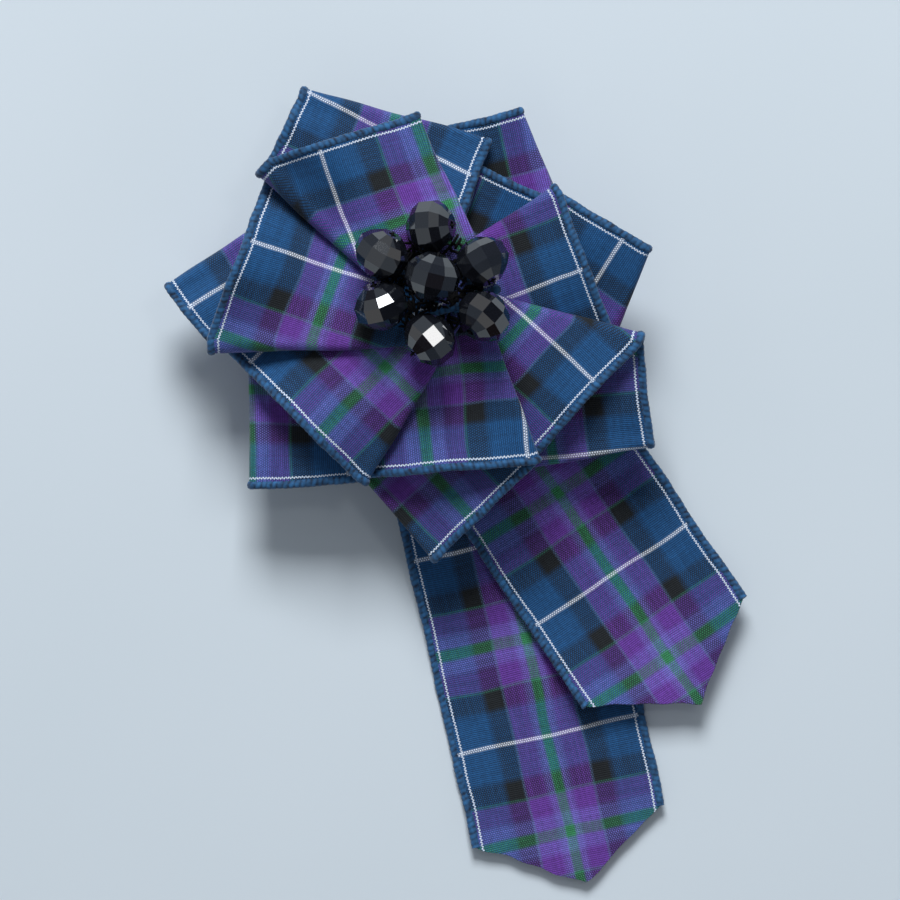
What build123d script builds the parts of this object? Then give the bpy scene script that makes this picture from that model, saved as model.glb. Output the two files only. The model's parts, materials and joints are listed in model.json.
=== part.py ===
"""Tartan ribbon brooch, lying on its back.

One ribbon is folded into a rosette of seven petals. Two ribbon tails with pointed ends hang from under it,
seven faceted beads are sewn on its middle, and a bar pin is sewn under it. Millimetres, +Z up, the tails
point towards -Y, and the origin is on the surface that the brooch lies on, under the middle of its box.
"""
from build123d import *
from collections import namedtuple
from math import atan2, cos, pi, radians, sin
import os

# The ribbon: stock of one width. The real cloth is thinner, its wall here is the least that is built.
ribbon_width = 25.0
cloth_wall = 1.0
seat_gap = 0.3

# The rosette: how far its corners reach, how high its layers pile up, how far its rim is dished upwards, how
# far its folds stand open, and how high its panels bulge. A crown_lag over 1 puts the bulge past halfway.
rosette_reach = 34.6
rosette_rise = 9.0
rim_rise = 3.0
fold_gape = 4.0
pressed_gape = 0.55
crown_rise = 5.0
crown_lag = 1.6
hem_length = 6.0

# The tails: where they start under the rosette, where they come down, and how they are cut.
tail_start = -8.0
tail_bend = 0.0
tail_landing = 48.0
upper_tail_length = 54.2
lower_tail_length = 69.6
point_length = 8.0

# The beads: cut glass, wider than long, drilled along the middle.
bead_diameter = 6.8
bead_length = 5.6
bead_hole = 1.0
bead_sides = 10

# The bar pin: a plate, a post at each end, and the needle, shut.
pin_length = 28.0
pin_width = 5.0
pin_plate = 0.8
pin_room = 3.9
needle_diameter = 0.9
pin_post = 2.4
pin_above_middle = 4.0

# How finely the folded cloth is faceted, and the hollow that is left in a fold that is pressed shut.
panel_steps = 4
across_steps = 2
roll_steps = 4
pressed_hollow = 0.02

# A row for each fold of the rosette, in the ribbon's order. P is its folded start. At a D fold the ribbon
# turns under the petal's end, and at a Q fold it turns under again into the next petal. reach and bearing
# place the fold's outer corner, heading is the way the fold line runs from there, in degrees. outer, belly
# and inner are heights along it over the rosette's seat, as shares of rosette_rise. gape is the share of
# fold_gape that stands open at the corner, and crown the share of crown_rise of the panel that follows.
Fold = namedtuple("Fold", "name reach bearing heading outer belly inner gape crown")
folds = [
    Fold("P1", 0.627, 95.6, -65.0, 0.34, 0.61, 0.90, 0.20, 0.75),
    Fold("D1", 0.758, 147.4, -42.0, 0.36, 0.59, 0.93, 1.00, 0.20),
    Fold("Q1", 0.860, 123.7, -16.0, -0.16, 0.02, 0.26, 0.65, 1.00),
    Fold("D2", 0.852, 196.5, 1.5, 0.26, 0.52, 0.90, 0.80, 0.15),
    Fold("Q2", 0.968, 180.4, 32.5, -0.30, -0.20, -0.09, 0.65, 1.00),
    Fold("D3", 0.769, 251.7, 59.5, 0.28, 0.72, 0.83, 0.50, 0.10),
    Fold("Q3", 0.990, 228.4, 90.0, -0.27, -0.29, -0.26, 0.50, 0.70),
    Fold("D4", 0.749, 301.4, 110.5, 0.40, 0.71, 0.70, 0.32, 0.10),
    Fold("Q4", 1.000, 271.0, 131.0, -0.27, -0.24, -0.20, 0.38, 0.50),
    Fold("D5", 0.790, 346.8, 165.5, 0.38, 0.53, 0.45, 0.55, 0.10),
    Fold("Q5", 0.991, 324.3, 190.0, -0.08, -0.14, -0.21, 0.35, 0.50),
    Fold("D6", 0.576, 38.4, 212.5, 0.33, 0.35, 0.30, 0.60, 0.10),
    Fold("Q6", 0.801, 10.4, 248.0, 0.24, 0.07, -0.17, 0.40, 0.25),
    Fold("D7", 0.550, 97.2, 264.0, -0.04, 0.28, 0.11, 0.33, 0.10),
    Fold("Q7", 0.717, 63.7, 293.0, -0.02, -0.04, 0.00, 0.30, 0.00),
]

# A row for each tail, from the bottom up. aside is how far its middle line runs to the left of the
# rosette's middle, and slant how far its point is off that line, as shares of ribbon_width.
Tail = namedtuple("Tail", "name length heading aside slant")
tails = [
    Tail("tail_lower", lower_tail_length, -77.3, 0.072, 0.028),
    Tail("tail_upper", upper_tail_length, -56.0, -0.062, 0.0),
]

# A row for each bead. out and bearing place it round the middle, as a share of bead_diameter and in
# degrees. axis is the way its hole runs, tilt how far that dips, turn how far its facets are turned round
# the hole, and up its height over the rosette's seat as a share of rosette_rise.
Bead = namedtuple("Bead", "name out bearing axis tilt turn up")
beads = [
    Bead("bead_1", 0.13, 85.0, 75.0, 10.0, 8.0, 1.66),
    Bead("bead_2", 1.04, 91.0, 5.0, 20.0, 20.0, 1.28),
    Bead("bead_3", 1.07, 149.0, 60.0, 15.0, 30.0, 1.38),
    Bead("bead_4", 1.01, 203.0, 110.0, 20.0, 12.0, 1.34),
    Bead("bead_5", 1.01, 268.0, 220.0, 10.0, 0.0, 1.43),
    Bead("bead_6", 1.11, 328.0, 230.0, 20.0, 25.0, 1.39),
    Bead("bead_7", 1.00, 24.0, 300.0, 15.0, 5.0, 1.39),
]

# A row for each ring of corners on a bead: along its hole, as a share of bead_length from the middle, and
# how wide the bead is there, as a share of bead_diameter.
FacetRow = namedtuple("FacetRow", "along width")
facet_rows = [
    FacetRow(-0.50, 0.42),
    FacetRow(-0.35, 0.77),
    FacetRow(-0.16, 1.00),
    FacetRow(0.16, 1.00),
    FacetRow(0.35, 0.77),
    FacetRow(0.50, 0.42),
]

pin_height = pin_plate + pin_room + needle_diameter
tail_step = cloth_wall + seat_gap
rosette_seat = pin_height + seat_gap + len(tails) * tail_step


def polar(distance, bearing):
    """A flat vector of this length and bearing."""
    return Vector(distance * cos(radians(bearing)), distance * sin(radians(bearing)))


def corner(fold):
    """The fold's outer corner, measured from the rosette's middle."""
    return polar(fold.reach * rosette_reach, fold.bearing)


def tail_outline(tail):
    """The tail's two cut corners and its point, measured from the rosette's middle."""
    along = polar(1.0, tail.heading)
    left = polar(1.0, tail.heading + 90.0)
    middle = left * (tail.aside * ribbon_width)
    half = left * (ribbon_width / 2)
    end = middle + along * tail.length
    point = end + along * point_length + left * (tail.slant * ribbon_width)
    return [end - half, point, end + half]


# The rosette's middle stands off the origin, so that the origin is under the middle of the whole box.
outline = [corner(fold) for fold in folds] + [spot for tail in tails for spot in tail_outline(tail)]
box_middle_x = (min(spot.X for spot in outline) + max(spot.X for spot in outline)) / 2
box_middle_y = (min(spot.Y for spot in outline) + max(spot.Y for spot in outline)) / 2
middle = Vector(-box_middle_x, -box_middle_y)


def fold_line(index):
    """The fold's length along its line, which spans the petal's full width of ribbon."""
    petal = index - index % 2
    if petal + 1 == len(folds):
        return ribbon_width
    run = corner(folds[petal + 1]) - corner(folds[petal])
    lean = radians(folds[index].heading) - atan2(run.Y, run.X)
    return ribbon_width / abs(sin(lean))


def fold_place(index, across):
    """A spot on the fold line, from the outer corner at 0 to the inner end at 1."""
    fold = folds[index]
    return middle + corner(fold) + polar(across * fold_line(index), fold.heading)


def fold_height(index, across):
    """The height of the fold's middle, on a soft curve through its outer, belly and inner shares."""
    fold = folds[index]
    back = 1.0 - across
    share = fold.outer * back**2 + 2 * fold.belly * back * across + fold.inner * across**2
    return rosette_seat + cloth_wall / 2 + share * rosette_rise


def fold_radius(index, across):
    """Half of the height between the two layers that the fold joins."""
    open_end = folds[index].gape * fold_gape
    return (open_end * (1.0 - across) + pressed_gape * across) / 2


def fold_outward(index):
    """The flat direction in which the fold bulges, away from the cloth that it joins."""
    side = 90.0 if index % 2 == 0 else -90.0
    return polar(1.0, folds[index].heading + side)


def dished(spot):
    """A spot of the rosette, lifted the more the further it is from the middle."""
    away = Vector(spot.X - middle.X, spot.Y - middle.Y).length
    return spot + Vector(0, 0, rim_rise * (away / rosette_reach) ** 2)


def roll_spot(index, across, turn, radius):
    """A spot on the fold's half round: turn is 0 on the upper layer and 1 on the lower one."""
    centre = fold_place(index, across) - fold_outward(index) * fold_radius(index, across)
    out = radius * sin(pi * turn)
    up = radius * cos(pi * turn)
    spot = centre + fold_outward(index) * out
    return Vector(spot.X, spot.Y, fold_height(index, across) + up)


def panel_spot(index, along, across):
    """A spot on the middle of the panel that runs from this fold to the next one."""
    start = roll_spot(index, across, 0.0 if index == 0 else 1.0, fold_radius(index, across))
    end = roll_spot(index + 1, across, 0.0, fold_radius(index + 1, across))
    crown = folds[index].crown * crown_rise * sin(pi * along**crown_lag) ** 2 * (1.0 - across) ** 2
    return start * (1.0 - along) + end * along + Vector(0, 0, crown)


def facets(*corners):
    """A flat face on three corners, or two faces on four that may be twisted."""
    if len(corners) == 4:
        return facets(*corners[:3]) + facets(corners[2], corners[3], corners[0])
    return [Face(Wire.make_polygon(corners))]


def wall(skin, lining):
    """The closed solid between two grids of spots, given in rows."""
    rows = len(skin) - 1
    spots = len(skin[0]) - 1
    faces = []
    for grid in (skin, lining):
        for i in range(rows):
            for j in range(spots):
                faces += facets(grid[i][j], grid[i + 1][j], grid[i + 1][j + 1], grid[i][j + 1])
    for i in range(rows):
        for j in (0, spots):
            faces += facets(skin[i][j], skin[i + 1][j], lining[i + 1][j], lining[i][j])
    for j in range(spots):
        for i in (0, rows):
            faces += facets(skin[i][j], skin[i][j + 1], lining[i][j + 1], lining[i][j])
    return Solid(Shell(faces))


def shares(steps):
    """Evenly spaced shares from 0 to 1."""
    return [step / steps for step in range(steps + 1)]


def cloth(rows):
    """A wall of cloth, half of it above and half below a grid of spots."""
    rows = [[dished(spot) for spot in row] for row in rows]
    half = Vector(0, 0, cloth_wall / 2)
    return wall([[spot + half for spot in row] for row in rows], [[spot - half for spot in row] for row in rows])


def panel(index):
    """The cloth between this fold and the next."""
    return cloth([[panel_spot(index, a, c) for c in shares(across_steps)] for a in shares(panel_steps)])


def roll(index):
    """The half round of cloth at a fold. Where the layers are pressed together it is nearly solid."""

    def rows(offset):
        def radius(across):
            return max(fold_radius(index, across) + offset, pressed_hollow)

        turns = shares(roll_steps)
        return [[dished(roll_spot(index, c, turn, radius(c))) for c in shares(across_steps)] for turn in turns]

    return wall(rows(cloth_wall / 2), rows(-cloth_wall / 2))


def hem(index):
    """The ribbon's cut end, folded flat under the fold."""
    rows = []
    for reach in (0.0, hem_length):
        inward = fold_outward(index) * -reach
        rows.append([roll_spot(index, c, 1.0, fold_radius(index, c)) + inward for c in shares(across_steps)])
    return cloth(rows)


# The rosette: one length of ribbon, folded under twice for each petal, and sewn flat in the middle.
with BuildPart() as rosette_ribbon:
    pieces = [panel(index) for index in range(len(folds) - 1)]
    pieces += [roll(index) for index in range(len(folds))]
    pieces += [hem(0), hem(len(folds) - 1)]
    add(pieces)
rosette_ribbon.part.label = "rosette_ribbon"

os.makedirs("parts", exist_ok=True)
export_step(rosette_ribbon.part, "parts/rosette_ribbon.step")

# The tails: two lengths of the same ribbon, laid over each other under the rosette and cut to a point.
# They fall side by side, so the upper one lies on the lower one all the way.
fall_way = polar(1.0, sum(tail.heading for tail in tails) / len(tails))
for layer, tail in enumerate(tails):
    along = polar(1.0, tail.heading)
    left = polar(1.0, tail.heading + 90.0)
    root = middle + left * (tail.aside * ribbon_width) + along * tail_start
    low = layer * tail_step
    high = pin_height + seat_gap + layer * tail_step
    reach = tail.length + point_length + ribbon_width
    with BuildPart() as ribbon_tail:
        with BuildSketch(Plane(origin=middle, x_dir=fall_way, z_dir=fall_way.cross(Vector(0, 0, 1)))):
            with BuildLine():
                for lift in (0.0, cloth_wall):
                    sewn = Line((-reach, high + lift), (tail_bend, high + lift))
                    fall = Spline(sewn @ 1, (tail_landing, low + lift), tangents=[(1, 0), (1, 0)])
                    Line(fall @ 1, (reach, low + lift))
                Line((-reach, high), (-reach, high + cloth_wall))
                Line((reach, low), (reach, low + cloth_wall))
            make_face()
        extrude(amount=reach, both=True)
        cut = [middle + spot for spot in tail_outline(tail)]
        cut += [root + left * (ribbon_width / 2), root - left * (ribbon_width / 2)]
        with BuildSketch():
            with BuildLine():
                Polyline(*cut, close=True)
            make_face()
        extrude(amount=high + cloth_wall, mode=Mode.INTERSECT)
    ribbon_tail.part.label = tail.name
    export_step(ribbon_tail.part, f"parts/{tail.name}.step")

# The beads: faceted black glass, each sewn on by a thread through its hole.
for bead in beads:
    centre = middle + polar(bead.out * bead_diameter, bead.bearing)
    height = rosette_seat + bead.up * rosette_rise
    hole_way = polar(cos(radians(bead.tilt)), bead.axis) + Vector(0, 0, sin(radians(bead.tilt)))
    drill = Plane(origin=(centre.X, centre.Y, height), x_dir=polar(1.0, bead.axis + 90.0), z_dir=hole_way)
    with BuildPart() as cut_bead:
        for facet_row in facet_rows:
            with BuildSketch(drill.offset(facet_row.along * bead_length)):
                RegularPolygon(facet_row.width * bead_diameter / 2, bead_sides, rotation=bead.turn)
        loft(ruled=True)
        with BuildSketch(drill):
            Circle(bead_hole / 2)
        extrude(amount=bead_length, both=True, mode=Mode.SUBTRACT)
    cut_bead.part.label = bead.name
    export_step(cut_bead.part, f"parts/{bead.name}.step")

# The bar pin: sewn under the tails, above the middle so that the brooch hangs upright when it is worn.
pin_middle = middle + Vector(0, pin_above_middle)
needle_height = needle_diameter / 2
plate_underside = pin_height - pin_plate
with BuildPart() as brooch_pin:
    with BuildSketch(Plane.XY.offset(plate_underside)):
        with Locations((pin_middle.X, pin_middle.Y)):
            SlotOverall(pin_length, pin_width)
    extrude(amount=pin_plate)
    with BuildSketch(Plane.XY.offset(needle_height)):
        with Locations((pin_middle.X, pin_middle.Y)):
            with GridLocations(pin_length - pin_width, 0, 2, 1):
                Circle(pin_post / 2)
    extrude(amount=plate_underside)
    with BuildSketch(Plane.YZ.offset(pin_middle.X)):
        with Locations((pin_middle.Y, needle_height)):
            Circle(needle_diameter / 2)
    extrude(amount=(pin_length - pin_width + pin_post) / 2, both=True)
brooch_pin.part.label = "brooch_pin"
export_step(brooch_pin.part, "parts/brooch_pin.step")
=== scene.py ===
import json
from collections import namedtuple
from math import atan2, cos, pi, radians, sin
from random import Random

import bpy
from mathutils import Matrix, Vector, noise

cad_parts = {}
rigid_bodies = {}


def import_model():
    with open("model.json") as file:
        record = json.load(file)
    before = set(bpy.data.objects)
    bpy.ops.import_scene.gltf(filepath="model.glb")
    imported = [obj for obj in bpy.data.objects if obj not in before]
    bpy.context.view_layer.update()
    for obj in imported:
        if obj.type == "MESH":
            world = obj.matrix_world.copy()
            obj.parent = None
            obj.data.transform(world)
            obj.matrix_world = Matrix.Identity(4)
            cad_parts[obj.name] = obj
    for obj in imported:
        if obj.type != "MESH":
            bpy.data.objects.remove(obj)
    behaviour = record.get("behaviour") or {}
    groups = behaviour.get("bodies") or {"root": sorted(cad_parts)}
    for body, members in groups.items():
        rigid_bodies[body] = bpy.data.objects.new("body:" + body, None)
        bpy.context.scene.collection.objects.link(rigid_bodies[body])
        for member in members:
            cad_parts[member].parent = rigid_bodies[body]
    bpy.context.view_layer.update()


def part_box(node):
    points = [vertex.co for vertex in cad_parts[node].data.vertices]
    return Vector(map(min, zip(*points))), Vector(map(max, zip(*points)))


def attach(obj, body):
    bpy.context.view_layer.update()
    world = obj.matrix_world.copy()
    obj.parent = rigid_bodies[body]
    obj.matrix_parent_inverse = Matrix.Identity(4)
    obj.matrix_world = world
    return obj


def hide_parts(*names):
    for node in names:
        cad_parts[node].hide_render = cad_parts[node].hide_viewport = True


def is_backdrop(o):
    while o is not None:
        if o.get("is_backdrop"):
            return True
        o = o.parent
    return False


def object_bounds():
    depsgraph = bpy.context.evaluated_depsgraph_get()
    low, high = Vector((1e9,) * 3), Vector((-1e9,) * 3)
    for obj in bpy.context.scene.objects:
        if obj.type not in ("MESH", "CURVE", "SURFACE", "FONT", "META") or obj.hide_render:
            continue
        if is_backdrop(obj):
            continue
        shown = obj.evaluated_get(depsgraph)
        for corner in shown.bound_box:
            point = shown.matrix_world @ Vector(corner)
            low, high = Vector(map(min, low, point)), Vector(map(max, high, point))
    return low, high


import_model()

# The brooch lies on a plain surface in pale eggshell paint, which is nearly matt and a little mottled. It is
# seen from straight above, through a long lens, so that its sides don't lean.
MM = 0.001
photo_middle = Vector((-0.70 * MM, 4.57 * MM, 0.0))
photo_width = 112.5 * MM
camera_height = 1500.0 * MM
petal_height = 10.0 * MM
sensor_width = 36.0
surface_width = 1600.0 * MM
mottles_per_mm = 0.014


def linear(hex_colour):
    """An sRGB hex colour as the linear values that a material takes."""
    shares = [int(hex_colour[i : i + 2], 16) / 255 for i in (0, 2, 4)]
    return tuple(s / 12.92 if s <= 0.04045 else ((s + 0.055) / 1.055) ** 2.4 for s in shares) + (1.0,)


def add_node(tree, kind, settings=None, sockets=None):
    """Adds a node, with its settings, and with its input sockets set to values or linked to outputs."""
    made = tree.nodes.new(kind)
    for name, value in (settings or {}).items():
        setattr(made, name, value)
    for name, value in (sockets or {}).items():
        if isinstance(value, bpy.types.NodeSocket):
            tree.links.new(value, made.inputs[name])
        else:
            made.inputs[name].default_value = value
    return made


def new_material(name):
    """An empty material and the tree of its nodes."""
    material = bpy.data.materials.new(name)
    material.use_nodes = True
    material.node_tree.nodes.clear()
    return material, material.node_tree


def finish_material(tree, surface):
    """Ends a material at its surface shader."""
    add_node(tree, "ShaderNodeOutputMaterial", None, {"Surface": surface.outputs[0]})


camera = bpy.data.objects.new("camera", bpy.data.cameras.new("camera"))
bpy.context.collection.objects.link(camera)
camera.location = photo_middle + Vector((0, 0, camera_height))
camera.data.sensor_width = sensor_width
camera.data.lens = sensor_width * (camera_height - petal_height) / photo_width
camera.data.clip_end = 10.0
bpy.context.scene.camera = camera

bpy.ops.object.select_all(action="DESELECT")
bpy.ops.mesh.primitive_plane_add(size=surface_width, location=(0, 0, 0))
surface = bpy.context.object
surface.name = "pale_surface"
painted, tree = new_material("pale eggshell paint")
place = add_node(tree, "ShaderNodeTexCoord")
mottle = add_node(tree, "ShaderNodeTexNoise", None, {
    "Vector": place.outputs["Object"], "Scale": mottles_per_mm / MM})
tint = add_node(tree, "ShaderNodeMix", {"data_type": "RGBA"}, {
    "Factor": mottle.outputs["Fac"], 6: linear("D6E0E5"), 7: linear("E0E8ED")})
finish_material(tree, add_node(tree, "ShaderNodeBsdfPrincipled", None, {
    "Base Color": tint.outputs[2], "Roughness": 0.6}))
surface.data.materials.append(painted)
surface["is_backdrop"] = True

# The light comes from a soft window beyond the top of the picture and a small skylight, square and turned
# to the brooch. Their places and widths are in mm.
Light = namedtuple("Light", "name place width watts colour")
lights = [
    Light("window", Vector((-50, 800, 780)), 420, 11.6, "F6FAFF"),
    Light("skylight", Vector((290, 250, 1060)), 120, 0.4, "FFFFFF"),
]
for light in lights:
    lamp = bpy.data.objects.new(light.name, bpy.data.lights.new(light.name, "AREA"))
    bpy.context.collection.objects.link(lamp)
    lamp.location = light.place * MM
    lamp.rotation_euler = (-light.place).to_track_quat("-Z", "Y").to_euler()
    lamp.data.size = light.width * MM
    lamp.data.energy = light.watts
    lamp.data.color = linear(light.colour)[:3]

# The room round it is uneven, so that a polished facet mirrors pale wall, brown wood or dark by turns. Each
# of its colours has the level of the noise where it lies.
room_patches = 2.2
room_strength = 0.51
room_colours = [
    (0.38, "141210"),
    (0.45, "4E3A30"),
    (0.50, "6E7C90"),
    (0.57, "DCEAF8"),
    (0.66, "FFFFFF"),
]
room = bpy.data.worlds.new("room")
bpy.context.scene.world = room
room.use_nodes = True
way = add_node(room.node_tree, "ShaderNodeTexCoord")
patches = add_node(room.node_tree, "ShaderNodeTexNoise", None, {
    "Vector": way.outputs["Generated"], "Scale": room_patches, "Detail": 1.0})
walls = add_node(room.node_tree, "ShaderNodeValToRGB", None, {"Fac": patches.outputs["Fac"]})
for share, colour in room_colours:
    walls.color_ramp.elements.new(share).color = linear(colour)
walls.color_ramp.elements.remove(walls.color_ramp.elements[0])
walls.color_ramp.elements.remove(walls.color_ramp.elements[-1])
background = room.node_tree.nodes["Background"]
room.node_tree.links.new(walls.outputs["Color"], background.inputs["Color"])
background.inputs["Strength"].default_value = room_strength
bpy.context.scene.view_settings.view_transform = "Standard"

# The ribbon: polyester tartan stock, plain woven, 25 mm wide, with a corded navy selvedge along each side
# and a white thread beside it. Its colours are those of the threads, so each check mixes two of them.
ribbon_width = 25.0 * MM
cloth_thickness = 0.36 * MM
thread_relief = 0.08 * MM

# The weave's sizes are in mm, as the ribbon's own map is. The weft has 100 picks in a repeat of the tartan.
half_width = ribbon_width / MM / 2
repeat = 24.9
warp_pitch = 0.15
weft_pitch = repeat / 100
zigzag_middle = 1.34
zigzag_pitch = 0.42
zigzag_swing = 0.07
zigzag_half = 0.10
thread_sway = 0.35
pulls_per_mm = 0.18
slubs_per_mm = 3.0
slub_stretch = 25.0
slub_contrast = 0.20
fibres_per_mm = 2.4
fibre_contrast = 0.30
# The painted shade in the gaps between picks and the painted highlight on their crests, as shares of the
# threads' colour.
gap_painted_shade = 0.46
ridge_painted_highlight = 1.42
crossing_relief = 0.35

# A row for each stripe: where it starts from the selvedge, or from the middle of the white line, how far it
# blurs into the stripe before, and its thread's colour.
Stripe = namedtuple("Stripe", "start blur colour")
warp_stripes = [
    Stripe(0.0, 0.0, "1A4C7A"),
    Stripe(5.65, 0.40, "171B1E"),
    Stripe(8.02, 0.12, "4E6080"),
    Stripe(8.30, 0.13, "683896"),
    Stripe(10.95, 0.35, "7064B4"),
    Stripe(11.85, 0.18, "348454"),
]
weft_stripes = [
    Stripe(0.0, 0.0, "E4EAF4"),
    Stripe(0.25, 0.08, "1A4C7A"),
    Stripe(4.50, 0.40, "171B1E"),
    Stripe(7.0, 0.12, "2E6050"),
    Stripe(7.35, 0.17, "5A3488"),
    Stripe(9.95, 0.40, "6660B0"),
    Stripe(11.70, 0.20, "30764E"),
]


def stripes(tree, place, rows, length):
    """The colour of the thread at this place, in mm, counted from the first stripe."""
    share = add_node(tree, "ShaderNodeMath", {"operation": "DIVIDE"}, {0: place, 1: length})
    ramp = add_node(tree, "ShaderNodeValToRGB", None, {"Fac": share.outputs[0]})
    stops = [(0.0, rows[0].colour)]
    for before, after in zip(rows, rows[1:]):
        stops.append((after.start - after.blur, before.colour))
        stops.append((after.start + after.blur, after.colour))
    while len(ramp.color_ramp.elements) < len(stops):
        ramp.color_ramp.elements.new(1.0)
    for element, (start, _) in zip(ramp.color_ramp.elements, stops):
        element.position = start / length
    for element, (_, colour) in zip(ramp.color_ramp.elements, stops):
        element.color = linear(colour)
    return ramp.outputs["Color"]


def wave(tree, place, period):
    """A sine along a place in mm."""
    turn = add_node(tree, "ShaderNodeMath", {"operation": "MULTIPLY"}, {0: place, 1: 2 * pi / period})
    return add_node(tree, "ShaderNodeMath", {"operation": "SINE"}, {0: turn.outputs[0]}).outputs[0]


def ribbon_place(tree):
    """Where a spot is on the ribbon, in mm across it and along it. No thread runs quite straight."""
    uv = add_node(tree, "ShaderNodeUVMap", {"uv_map": "ribbon"})
    place = add_node(tree, "ShaderNodeTexCoord")
    pull = add_node(tree, "ShaderNodeTexNoise", None, {
        "Vector": place.outputs["Object"], "Scale": pulls_per_mm / MM, "Detail": 3.0})
    sway = add_node(tree, "ShaderNodeVectorMath", {"operation": "MULTIPLY_ADD"}, {
        0: pull.outputs["Color"], 1: (thread_sway,) * 3, 2: (-thread_sway / 2,) * 3})
    swayed = add_node(tree, "ShaderNodeVectorMath", {"operation": "ADD"}, {
        0: uv.outputs["UV"], 1: sway.outputs[0]})
    split = add_node(tree, "ShaderNodeSeparateXYZ", None, {0: swayed.outputs[0]})
    return split.outputs[0], split.outputs[1]


def spun(tree, colour, between, lengthways):
    """A set of threads' colour, lighter or darker from one thread to the next and slowly along each."""
    slow = add_node(tree, "ShaderNodeMath", {"operation": "MULTIPLY"}, {0: lengthways, 1: 1 / slub_stretch})
    spot = add_node(tree, "ShaderNodeCombineXYZ", None, {0: between, 1: slow.outputs[0]})
    slub = add_node(tree, "ShaderNodeTexNoise", None, {
        "Vector": spot.outputs[0], "Scale": slubs_per_mm, "Detail": 1.0})
    share = add_node(tree, "ShaderNodeMapRange", None, {
        "Value": slub.outputs["Fac"], "From Min": 0.3, "From Max": 0.7,
        "To Min": 1 - slub_contrast, "To Max": 1 + slub_contrast})
    return add_node(tree, "ShaderNodeVectorMath", {"operation": "SCALE"}, {
        0: colour, "Scale": share.outputs[0]})


def weft_colour(tree, along):
    """The weft's colour, which mirrors at the white line and at the middle of the green one."""
    mirrored = add_node(tree, "ShaderNodeMath", {"operation": "PINGPONG"}, {0: along, 1: repeat / 2})
    return stripes(tree, mirrored.outputs[0], weft_stripes, repeat / 2)


# Where the warp and weft waves have the same sign the weft lies on top, and elsewhere the warp.
tartan, tree = new_material("woven polyester tartan")
across, along = ribbon_place(tree)
off_middle = add_node(tree, "ShaderNodeMath", {"operation": "SUBTRACT"}, {0: across, 1: half_width})
off_middle = add_node(tree, "ShaderNodeMath", {"operation": "ABSOLUTE"}, {0: off_middle.outputs[0]})
from_edge = add_node(tree, "ShaderNodeMath", {"operation": "SUBTRACT"}, {
    0: half_width, 1: off_middle.outputs[0]})
warp = spun(tree, stripes(tree, from_edge.outputs[0], warp_stripes, half_width), across, along)
weft = spun(tree, weft_colour(tree, along), along, across)
ends = wave(tree, across, 2 * warp_pitch)
picks = wave(tree, along, 2 * weft_pitch)
weave = add_node(tree, "ShaderNodeMath", {"operation": "MULTIPLY"}, {0: ends, 1: picks})
over = add_node(tree, "ShaderNodeMath", {"operation": "MULTIPLY_ADD", "use_clamp": True}, {
    0: weave.outputs[0], 1: 0.5, 2: 0.5})
threads = add_node(tree, "ShaderNodeMix", {"data_type": "RGBA"}, {
    "Factor": over.outputs[0], 6: warp.outputs[0], 7: weft.outputs[0]})
# The white thread beside the cord winds a little to and fro.
swing = add_node(tree, "ShaderNodeMath", {"operation": "MULTIPLY_ADD"}, {
    0: wave(tree, along, zigzag_pitch), 1: zigzag_swing, 2: zigzag_middle})
aside = add_node(tree, "ShaderNodeMath", {"operation": "SUBTRACT"}, {
    0: from_edge.outputs[0], 1: swing.outputs[0]})
aside = add_node(tree, "ShaderNodeMath", {"operation": "ABSOLUTE"}, {0: aside.outputs[0]})
zigzag = add_node(tree, "ShaderNodeMath", {"operation": "LESS_THAN"}, {0: aside.outputs[0], 1: zigzag_half})
whitened = add_node(tree, "ShaderNodeMix", {"data_type": "RGBA"}, {
    "Factor": zigzag.outputs[0], 6: threads.outputs[2], 7: linear("C8D2E0")})
# Each thread is rounded, so the gaps between picks get painted shade and their crests a painted highlight,
# and spun fibre is never quite even.
ridge = add_node(tree, "ShaderNodeMath", {"operation": "ABSOLUTE"}, {0: picks})
shade = add_node(tree, "ShaderNodeMapRange", None, {
    "Value": ridge.outputs[0], "To Min": gap_painted_shade, "To Max": ridge_painted_highlight})
place = add_node(tree, "ShaderNodeTexCoord")
fibre = add_node(tree, "ShaderNodeTexNoise", None, {
    "Vector": place.outputs["Object"], "Scale": fibres_per_mm / MM, "Detail": 2.0})
uneven = add_node(tree, "ShaderNodeMapRange", None, {
    "Value": fibre.outputs["Fac"], "To Min": 1 - fibre_contrast, "To Max": 1 + fibre_contrast})
lightness = add_node(tree, "ShaderNodeMath", {"operation": "MULTIPLY"}, {
    0: shade.outputs[0], 1: uneven.outputs[0]})
dyed_and_painted_shade = add_node(tree, "ShaderNodeVectorMath", {"operation": "SCALE"}, {
    0: whitened.outputs[2], "Scale": lightness.outputs[0]})
relief = add_node(tree, "ShaderNodeMath", {"operation": "MULTIPLY_ADD"}, {
    0: weave.outputs[0], 1: crossing_relief, 2: ridge.outputs[0]})
bump = add_node(tree, "ShaderNodeBump", None, {
    "Height": relief.outputs[0], "Strength": 0.5, "Distance": thread_relief})
# Dull thread in a plain weave is matt, with a slight sheen at a low angle.
finish_material(tree, add_node(tree, "ShaderNodeBsdfPrincipled", None, {
    "Base Color": dyed_and_painted_shade.outputs[0], "Roughness": 0.72, "Normal": bump.outputs[0],
    "Sheen Weight": 0.15, "Sheen Roughness": 0.45, "Specular IOR Level": 0.25}))
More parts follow.
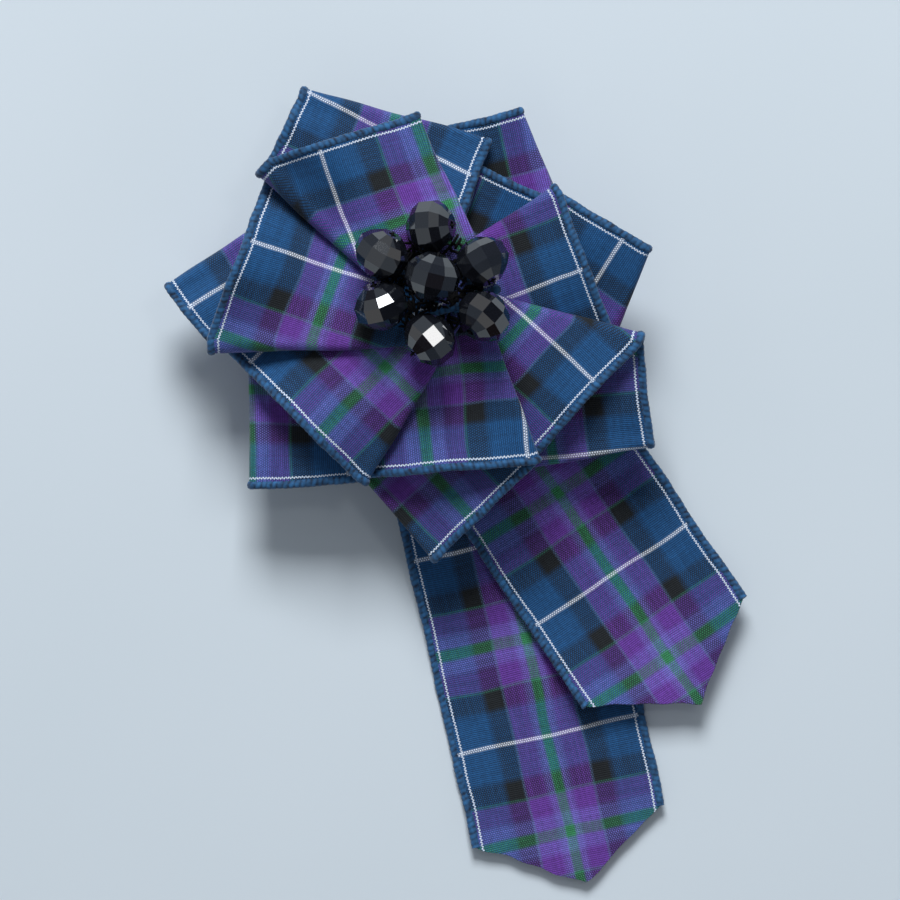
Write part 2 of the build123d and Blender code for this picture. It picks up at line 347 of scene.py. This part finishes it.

# The selvedge cord: the weft turns back round a thick cord there, in slanted ribs of navy. Its colour holds
# painted light: a painted highlight on each rib and painted light and shade in random stretches along the
# cord, which is also fuller here and there. Its sizes are in mm too.
cord_width = 1.08
cord_height = 0.84
rib_pitch = 0.71
rib_slant = 0.15
rib_swell = 0.09
rib_contrast = 0.22
light_patches_per_mm = 1.3
fullness_length = 1.6
least_full = 0.90
fullness_swing = 0.20
cord_sides = 8
cord, tree = new_material("corded navy selvedge")
across, along = ribbon_place(tree)
# Navy with a painted highlight on each rib and painted light and shade in random stretches.
rib = add_node(tree, "ShaderNodeMath", {"operation": "ABSOLUTE"}, {0: wave(tree, along, 2 * rib_pitch)})
place = add_node(tree, "ShaderNodeTexCoord")
light_patches = add_node(tree, "ShaderNodeTexNoise", None, {
    "Vector": place.outputs["Object"], "Scale": light_patches_per_mm / MM, "Detail": 3.0})
lit = add_node(tree, "ShaderNodeMath", {"operation": "MULTIPLY_ADD"}, {
    0: rib.outputs[0], 1: rib_contrast, 2: light_patches.outputs["Fac"]})
lit = add_node(tree, "ShaderNodeMapRange", None, {
    "Value": lit.outputs[0], "From Min": 0.40, "From Max": 0.88})
rib_colour = add_node(tree, "ShaderNodeMix", {"data_type": "RGBA"}, {
    "Factor": lit.outputs[0], 6: linear("12263E"), 7: linear("306A9C")})
finish_material(tree, add_node(tree, "ShaderNodeBsdfPrincipled", None, {
    "Base Color": rib_colour.outputs[2], "Roughness": 0.7, "Sheen Weight": 0.2, "Specular IOR Level": 0.3}))

Spot = namedtuple("Spot", "place across along")


def cord_rows(spots, inward_spots):
    """Rings of a ribbed cord along a selvedge, from spots on its middle line and others further in."""
    rows = []
    for i, (spot, inner) in enumerate(zip(spots, inward_spots)):
        ahead = spots[min(i + 1, len(spots) - 1)].place - spots[max(i - 1, 0)].place
        inward = (inner.place - spot.place).normalized()
        up = ahead.cross(inward).normalized()
        inward = up.cross(ahead).normalized()
        fullness = least_full + fullness_swing * noise.noise(spot.place / (fullness_length * MM))
        ring = []
        for side in range(cord_sides):
            turn = 2 * pi * side / cord_sides
            along = spot.along + rib_slant * cos(turn)
            swell = fullness + rib_swell * abs(sin(pi * along / rib_pitch))
            out = inward * (cos(turn) * swell * cord_width / 2 * MM)
            rise = up * (sin(turn) * swell * cord_height / 2 * MM)
            ring.append(Spot(spot.place + out + rise, spot.across, along))
        rows.append(ring)
    return rows


# The rosette: one length of the ribbon, folded under twice for each of seven petals. It is sewn flat in the
# middle, so its petals pile up there, and each stands a little open at its outer corners.
pin_low, pin_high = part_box("brooch_pin")
pin_above_middle = 4.0 * MM
seat_gap = 0.3 * MM
cloth_wall = 1.0 * MM
tail_step = cloth_wall + seat_gap
middle = Vector(((pin_low.x + pin_high.x) / 2, (pin_low.y + pin_high.y) / 2 - pin_above_middle, 0.0))
rosette_seat = pin_high.z + seat_gap + 2 * tail_step
rosette_reach = 34.6 * MM
rosette_rise = 9.0 * MM
rim_rise = 3.0 * MM
fold_gape = 4.0 * MM
pressed_gape = 0.55 * MM
crown_rise = 5.0 * MM
crown_lag = 1.6
hem_length = 6.0 * MM
round_off = 0.14

# How the cloth wavers: over what length, and how far up and down or aside. The seed keeps it the same.
waver_seed = 11
noise.seed_set(waver_seed)
broad_waver = 9.0 * MM
broad_lift = 0.35 * MM
fine_waver = 3.0 * MM
fine_lift = 0.06 * MM
side_waver = 7.0 * MM
side_shift = 0.28 * MM

# Marks along the ribbon, in mm from its first white line: where the first fold is, how much ribbon its turn
# into the hem takes up, and how far apart the rows of the cloth, of its folds and of its cords are.
first_fold = -12.9
hem_turn = 0.8
cloth_step = 0.6
fold_step = 0.35
cord_step = 0.13
cloth_columns = 40
crease_angle = 60.0

# A row for each fold, in the ribbon's order. reach and bearing place its outer corner, heading is the way
# its line runs from there, outer, belly and inner are heights along it as shares of the rise, gape is how
# far it stands open, crown how far the panel after it bulges, and slack the cloth that the fold takes up.
Fold = namedtuple("Fold", "name reach bearing heading outer belly inner gape crown slack")
folds = [
    Fold("P1", 0.627, 95.6, -65.0, 0.34, 0.61, 0.90, 0.20, 0.75, 0.0),
    Fold("D1", 0.758, 147.4, -42.0, 0.36, 0.59, 0.93, 1.00, 0.20, 4.4),
    Fold("Q1", 0.860, 123.7, -16.0, -0.16, 0.02, 0.26, 0.65, 1.00, 4.9),
    Fold("D2", 0.852, 196.5, 1.5, 0.26, 0.52, 0.90, 0.80, 0.15, 4.1),
    Fold("Q2", 0.968, 180.4, 32.5, -0.30, -0.20, -0.09, 0.65, 1.00, 6.7),
    Fold("D3", 0.769, 251.7, 59.5, 0.28, 0.72, 0.83, 0.50, 0.10, 1.8),
    Fold("Q3", 0.990, 228.4, 90.0, -0.27, -0.29, -0.26, 0.50, 0.70, 2.4),
    Fold("D4", 0.749, 301.4, 110.5, 0.40, 0.71, 0.70, 0.32, 0.10, 0.0),
    Fold("Q4", 1.000, 271.0, 131.0, -0.27, -0.24, -0.20, 0.38, 0.50, 0.5),
    Fold("D5", 0.790, 346.8, 165.5, 0.38, 0.53, 0.45, 0.55, 0.10, 2.1),
    Fold("Q5", 0.991, 324.3, 190.0, -0.08, -0.14, -0.21, 0.35, 0.50, 1.5),
    Fold("D6", 0.576, 38.4, 212.5, 0.33, 0.35, 0.30, 0.60, 0.10, 3.6),
    Fold("Q6", 0.801, 10.4, 248.0, 0.24, 0.07, -0.17, 0.40, 0.25, 6.5),
    Fold("D7", 0.550, 97.2, 264.0, -0.04, 0.28, 0.11, 0.33, 0.10, 3.7),
    Fold("Q7", 0.717, 63.7, 293.0, -0.02, -0.04, 0.00, 0.30, 0.00, 0.0),
]
last = len(folds) - 1


def pick(piece):
    """Selects one piece alone."""
    bpy.ops.object.select_all(action="DESELECT")
    piece.select_set(True)
    bpy.context.view_layer.objects.active = piece


def smooth(piece):
    """Smooth shading, apart from sharp edges."""
    pick(piece)
    bpy.ops.object.shade_smooth_by_angle(angle=radians(crease_angle))


def make_mesh(name, rows, closed, material):
    """A mesh over rows of spots, whose map says where each spot is on the ribbon."""
    spots = [spot for row in rows for spot in row]
    width = len(rows[0])
    faces = []
    for i in range(len(rows) - 1):
        for j in range(width if closed else width - 1):
            k = (j + 1) % width
            faces.append((i * width + j, (i + 1) * width + j, (i + 1) * width + k, i * width + k))
    if closed:
        faces.append(tuple(range(width)))
        faces.append(tuple(reversed(range((len(rows) - 1) * width, len(rows) * width))))
    mesh = bpy.data.meshes.new(name)
    mesh.from_pydata([spot.place for spot in spots], [], faces)
    uv = mesh.uv_layers.new(name="ribbon")
    for loop in mesh.loops:
        spot = spots[loop.vertex_index]
        uv.data[loop.index].uv = (spot.across, spot.along)
    mesh.materials.append(material)
    piece = bpy.data.objects.new(name, mesh)
    bpy.context.collection.objects.link(piece)
    return piece


def polar(distance, bearing):
    """A flat vector of this length and bearing in degrees."""
    return Vector((distance * cos(radians(bearing)), distance * sin(radians(bearing)), 0.0))


def corner(fold):
    """The fold's outer corner, from the rosette's middle."""
    return polar(fold.reach * rosette_reach, fold.bearing)


def fold_line(index):
    """The fold's length, which spans the full width of the ribbon."""
    petal = index - index % 2
    if petal == last:
        return ribbon_width
    run = corner(folds[petal + 1]) - corner(folds[petal])
    return ribbon_width / abs(sin(radians(folds[index].heading) - atan2(run.y, run.x)))


def fold_radius(index, across):
    """Half of the height between the two layers that the fold joins."""
    return (folds[index].gape * fold_gape * (1 - across) + pressed_gape * across) / 2


def fold_outward(index):
    """The flat direction in which the fold bulges."""
    return polar(1.0, folds[index].heading + (90.0 if index % 2 == 0 else -90.0))


def roll_place(index, turn, across):
    """A spot on the fold's half round, from the upper layer at turn 0 to the lower one at 1."""
    fold = folds[index]
    radius = fold_radius(index, across)
    back = 1 - across
    share = fold.outer * back**2 + 2 * fold.belly * back * across + fold.inner * across**2
    height = rosette_seat + cloth_wall / 2 + share * rosette_rise
    spot = middle + corner(fold) + polar(across * fold_line(index), fold.heading)
    spot += fold_outward(index) * (radius * (sin(pi * turn) - 1))
    return Vector((spot.x, spot.y, height + radius * cos(pi * turn)))


def eased(share):
    """A straight run whose two ends are rounded off, so that it leaves each fold level."""
    if share > 0.5:
        return 1 - eased(1 - share)
    if share < round_off:
        return share**2 / (2 * round_off) / (1 - round_off)
    return (share - round_off / 2) / (1 - round_off)


def panel_place(index, share, across):
    """A spot on the panel between this fold and the next."""
    start = roll_place(index, 0.0 if index == 0 else 1.0, across)
    end = roll_place(index + 1, 0.0, across)
    spot = start.lerp(end, share)
    spot.z = start.z + (end.z - start.z) * eased(share)
    spot.z += folds[index].crown * crown_rise * sin(pi * share**crown_lag) ** 2 * (1 - across) ** 2
    return spot


def hem_place(index, share, across):
    """A spot on the ribbon's cut end, folded flat under a fold."""
    return roll_place(index, 1.0, across) - fold_outward(index) * (share * hem_length)


def draped(place):
    """A place lifted with the dished rim and by the cloth's waver, which layers that touch share."""
    away = Vector((place.x - middle.x, place.y - middle.y)).length
    lift = rim_rise * (away / rosette_reach) ** 2
    lift += noise.noise(place / broad_waver) * broad_lift + noise.noise(place / fine_waver) * fine_lift
    shift = noise.noise_vector(place / side_waver) * side_shift
    return place + Vector((shift.x, shift.y, lift))


# The ribbon's stretches in order: what makes its places, the fold, and its marks along the ribbon at its
# start and end, at the outer selvedge.
Stretch = namedtuple("Stretch", "place index start end")
mark = first_fold
stretches = [
    Stretch(hem_place, 0, mark - hem_turn - hem_length / MM, mark - hem_turn),
    Stretch(roll_place, 0, mark - hem_turn, mark),
]
for index in range(last):
    length = (corner(folds[index + 1]) - corner(folds[index])).length / MM
    stretches.append(Stretch(panel_place, index, mark, mark + length))
    mark += length + folds[index + 1].slack
    stretches.append(Stretch(roll_place, index + 1, mark - folds[index + 1].slack, mark))
stretches.append(Stretch(hem_place, last, mark, mark + hem_length / MM))


def fold_mark(mark, index, panel_index, across):
    """The mark where a panel meets the fold's half round, from the mark of the fold's outer corner."""
    run = corner(folds[panel_index + 1]) - corner(folds[panel_index])
    lean = radians(folds[index].heading) - atan2(run.y, run.x)
    skew = across * fold_line(index) * cos(lean) / MM
    inward = -run.normalized().dot(fold_outward(index)) * fold_radius(index, across) / MM
    return mark + skew + inward


def ribbon_mark(stretch, share, across):
    """The mark along the ribbon at a spot of a stretch."""
    index = stretch.index
    if stretch.place is panel_place:
        start = fold_mark(stretch.start, index, index, across)
        end = fold_mark(stretch.end, index + 1, index, across)
        return start * (1 - share) + end * share
    start = fold_mark(stretch.start, index, max(index - 1, 0), across)
    end = fold_mark(stretch.end, index, min(index, last - 1), across)
    if stretch.place is hem_place or index == 0:
        return start * (1 - share) + end * share
    # The upper half of a fold is smooth, and what it takes up is gathered in the hidden lower half.
    half = pi * fold_radius(index, across) / MM / 2
    if share < 0.5:
        return start + half * 2 * share
    return start + half + (end - start - half) * (2 * share - 1)


def ribbon_spot(stretch, share, across):
    """A spot of the folded ribbon. Its first hem and turn run back towards the first fold."""
    onward = 1 - share if stretch in stretches[:2] else share
    place = stretch.place(stretch.index, onward, across)
    return Spot(draped(place), across * 2 * half_width, ribbon_mark(stretch, share, across))


def shares_along(step, roll_step):
    """Each stretch with even shares along it, about a step apart, and each spot once."""
    for number, stretch in enumerate(stretches):
        size = roll_step if stretch.place is roll_place else step
        longest = max(stretch.end - stretch.start, pi * fold_radius(stretch.index, 0.0) / MM)
        count = max(3, round(longest / size))
        for i in range(0 if number == 0 else 1, count + 1):
            yield stretch, i / count


def add_cloth(name, rows, node):
    """The woven sheet over rows of spots, in its real thickness, in place of a plain solid."""
    cloth = make_mesh(name, rows, False, tartan)
    pick(cloth)
    wall = cloth.modifiers.new("wall", "SOLIDIFY")
    wall.thickness = cloth_thickness
    wall.offset = 0.0
    bpy.ops.object.modifier_apply(modifier="wall")
    smooth(cloth)
    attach(cloth, "root")
    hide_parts(node)
    return cloth


def add_selvedges(name, line_at):
    """The cords along both sides of a sheet, whose lines of spots are given at a share across it."""
    cords = []
    for side, edge in enumerate((cord_share, 1 - cord_share)):
        further = edge + cord_share if side == 0 else edge - cord_share
        rows = cord_rows(line_at(edge), line_at(further))
        selvedge = make_mesh(f"{name}_selvedge_{side + 1}", rows, True, cord)
        smooth(selvedge)
        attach(selvedge, "root")
        cords.append(selvedge)
    return cords


def rosette_line(across):
    """The fine spots along the folded ribbon at this share across it."""
    return [ribbon_spot(stretch, share, across) for stretch, share in shares_along(cord_step, cord_step)]


# The sheet reaches to the middle of each cord.
cord_share = cord_width / 2 / (2 * half_width)
shares_across = [cord_share + (1 - 2 * cord_share) * j / cloth_columns for j in range(cloth_columns + 1)]
rows = [[ribbon_spot(stretch, share, across) for across in shares_across]
        for stretch, share in shares_along(cloth_step, fold_step)]
rosette = add_cloth("rosette_cloth", rows, "rosette_ribbon")
cords = add_selvedges("rosette", rosette_line)

# The tails: two lengths of the same ribbon, sewn under the rosette and cut to a point with sealed edges.
# They fall from under it to the surface, and the upper one lies across the lower one.
tail_start = -8.0 * MM
tail_landing = 48.0 * MM
point_length = 8.0 * MM
curl_length = 16.0 * MM
cut_waver = 0.5 * MM
cut_waves = 9
cut_seed = 5
tail_waver = 8.0 * MM
tail_shift = 0.25 * MM
cord_rows_per_step = 5

# A row for each tail, from the bottom up. aside is how far its middle line runs to the left of the rosette's
# middle, and slant how far its point is off that line, as shares of the ribbon's width. layer counts the
# tails under it, white is how far down its white line is, in mm, and curl is the lift of its cut end.
Tail = namedtuple("Tail", "name node length heading aside slant layer white curl")
tails = [
    Tail("tail_cloth_lower", "tail_lower", 69.6 * MM, -77.3, 0.072, 0.028, 0, 58.3, 0.8 * MM),
    Tail("tail_cloth_upper", "tail_upper", 54.2 * MM, -56.0, -0.062, 0.0, 1, 42.7, 1.8 * MM),
]
fall_way = polar(1.0, sum(tail.heading for tail in tails) / len(tails))


def tail_spot(tail, share, across):
    """A spot of a tail, whose share runs from its sewn end to its cut point."""
    along = polar(1.0, tail.heading)
    left = polar(1.0, tail.heading + 90)
    aside = (across - 0.5) * ribbon_width
    point = tail.slant * ribbon_width
    edge = ribbon_width / 2
    taper = (edge - aside) / (edge - point) if aside > point else (edge + aside) / (edge + point)
    end = tail.length + point_length * taper
    end += noise.noise(Vector((across * cut_waves, tail.layer * cut_seed, 0))) * cut_waver
    reach = tail_start + (end - tail_start) * share
    flat = middle + left * (tail.aside * ribbon_width + aside) + along * reach
    fall = (flat - middle).dot(fall_way)
    drop = min(max(fall / tail_landing, 0.0), 1.0)
    drop = drop * drop * (3 - 2 * drop)
    lift = tail.layer * tail_step
    height = cloth_wall / 2 + lift + (rosette_seat - 2 * tail_step) * (1 - drop)
    height += tail.curl * max(0.0, 1 - (end - reach) / curl_length) ** 2
    shift = noise.noise_vector(flat / tail_waver) * tail_shift
    place = Vector((flat.x + shift.x, flat.y + shift.y, height + abs(shift.z)))
    return Spot(place, across * 2 * half_width, reach / MM - tail.white)


def tail_line(tail, steps, across):
    """The spots along a tail, in this many steps, at this share across it."""
    return [tail_spot(tail, i / steps, across) for i in range(steps + 1)]


for tail in tails:
    whole = tail.length + point_length - tail_start
    steps = round(whole / MM / cloth_step)
    rows = [[tail_spot(tail, i / steps, across) for across in shares_across] for i in range(steps + 1)]
    cloth = add_cloth(tail.name, rows, tail.node)
    cords = add_selvedges(tail.node, lambda across: tail_line(tail, steps * cord_rows_per_step, across))

# The beads: opaque black cut glass, each held by a thread through its hole. They are ground and polished, so
# that each flat facet mirrors the window or the dark room.
bead_count = 7
glass, tree = new_material("polished black glass")
finish_material(tree, add_node(tree, "ShaderNodeBsdfPrincipled", None, {
    "Base Color": linear("16181E"), "Roughness": 0.05, "IOR": 1.85, "Coat Weight": 0.3}))
for number in range(bead_count):
    bead = bpy.data.objects[f"bead_{number + 1}"]
    bead.data.materials.clear()
    bead.data.materials.append(glass)

# The beading thread: black waxed polyester. It runs through each bead and down into the ribbon at both
# sides, and short stitches between the beads hold the ends of the folds together. The stitches are crowded
# round the middle, so their black also serves as painted shade between the beads.
thread_width = 0.32 * MM
thread_turn = 0.3 * MM
bead_length = 5.6 * MM
stitch_count = 320
stitch_length = 2.2 * MM
stitch_crest = 0.8
sewn_reach = 6.3 * MM
sewn_crowding = 0.6

# A row for each bead's hole: the way it runs and how far it dips, in degrees.
Bore = namedtuple("Bore", "name axis tilt")
bores = [
    Bore("bead_1", 75.0, 10.0),
    Bore("bead_2", 5.0, 20.0),
    Bore("bead_3", 60.0, 15.0),
    Bore("bead_4", 110.0, 20.0),
    Bore("bead_5", 220.0, 10.0),
    Bore("bead_6", 230.0, 20.0),
    Bore("bead_7", 300.0, 15.0),
]
lines = bpy.data.curves.new("beading_thread_and_painted_shade", "CURVE")
lines.dimensions = "3D"
lines.bevel_depth = thread_width / 2
lines.bevel_resolution = 1
lines.use_fill_caps = True


def on_ribbon(place, above):
    """The spot this far above the ribbon over or under a place."""
    hit, spot, _, _ = rosette.ray_cast(Vector((place.x, place.y, 1.0)), Vector((0, 0, -1)))
    return Vector((place.x, place.y, (spot.z if hit else rosette_seat) + above))


def add_line(places):
    """A length of thread through these places."""
    line = lines.splines.new("NURBS")
    line.points.add(len(places) - 1)
    for point, place in zip(line.points, places):
        point.co = (place.x, place.y, place.z, 1.0)
    line.order_u = 3
    line.use_endpoint_u = True
    line.resolution_u = 2


bpy.context.view_layer.update()
for bore in bores:
    low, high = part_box(bore.name)
    centre = (low + high) / 2
    way = polar(cos(radians(bore.tilt)), bore.axis) + Vector((0, 0, sin(radians(bore.tilt))))
    mouths = [centre + way * (side * bead_length / 2) for side in (-1, 1)]
    turns = [centre + way * (side * (bead_length / 2 + thread_turn)) for side in (-1, 1)]
    add_line([on_ribbon(turns[0], -thread_width), turns[0], mouths[0], centre, mouths[1], turns[1],
              on_ribbon(turns[1], -thread_width)])
# The stitches: real thread, and so many of them that their black is painted shade in the gaps between the
# beads.
chance = Random(11)
for _ in range(stitch_count):
    spot = middle + polar(sewn_reach * chance.random() ** sewn_crowding, chance.uniform(0, 360))
    step = polar(stitch_length * chance.uniform(0.6, 1.0) / 2, chance.uniform(0, 360))
    crest = step * stitch_crest
    lift = thread_width * chance.uniform(0.1, 0.8)
    add_line([on_ribbon(spot - step, -thread_width), on_ribbon(spot - crest, lift), on_ribbon(spot, lift),
              on_ribbon(spot + crest, lift), on_ribbon(spot + step, -thread_width)])
sewing = bpy.data.objects.new("beading_thread_and_painted_shade", lines)
bpy.context.collection.objects.link(sewing)
pick(sewing)
bpy.ops.object.convert(target="MESH")
sewing = bpy.context.object
# Wax fills the thread's fibres, so that it is nearly black with a dull gloss.
waxed, tree = new_material("black waxed thread")
finish_material(tree, add_node(tree, "ShaderNodeBsdfPrincipled", None, {
    "Base Color": linear("07070A"), "Roughness": 0.7, "Specular IOR Level": 0.2}))
sewing.data.materials.clear()
sewing.data.materials.append(waxed)
smooth(sewing)
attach(sewing, "root")

# The bar pin: nickel plated steel, sewn on under the tails. It is stamped and then tumbled, so it is bright
# with fine scratches.
scratches_per_mm = 0.9
nickel, tree = new_material("tumbled nickel plate")
place = add_node(tree, "ShaderNodeTexCoord")
scratches = add_node(tree, "ShaderNodeTexNoise", None, {
    "Vector": place.outputs["Object"], "Scale": scratches_per_mm / MM, "Detail": 3.0})
rough = add_node(tree, "ShaderNodeMapRange", None, {
    "Value": scratches.outputs["Fac"], "To Min": 0.2, "To Max": 0.4})
finish_material(tree, add_node(tree, "ShaderNodeBsdfPrincipled", None, {
    "Base Color": linear("C9C6BE"), "Metallic": 1.0, "Roughness": rough.outputs[0]}))
pin = bpy.data.objects["brooch_pin"]
pin.data.materials.clear()
pin.data.materials.append(nickel)

low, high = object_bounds()
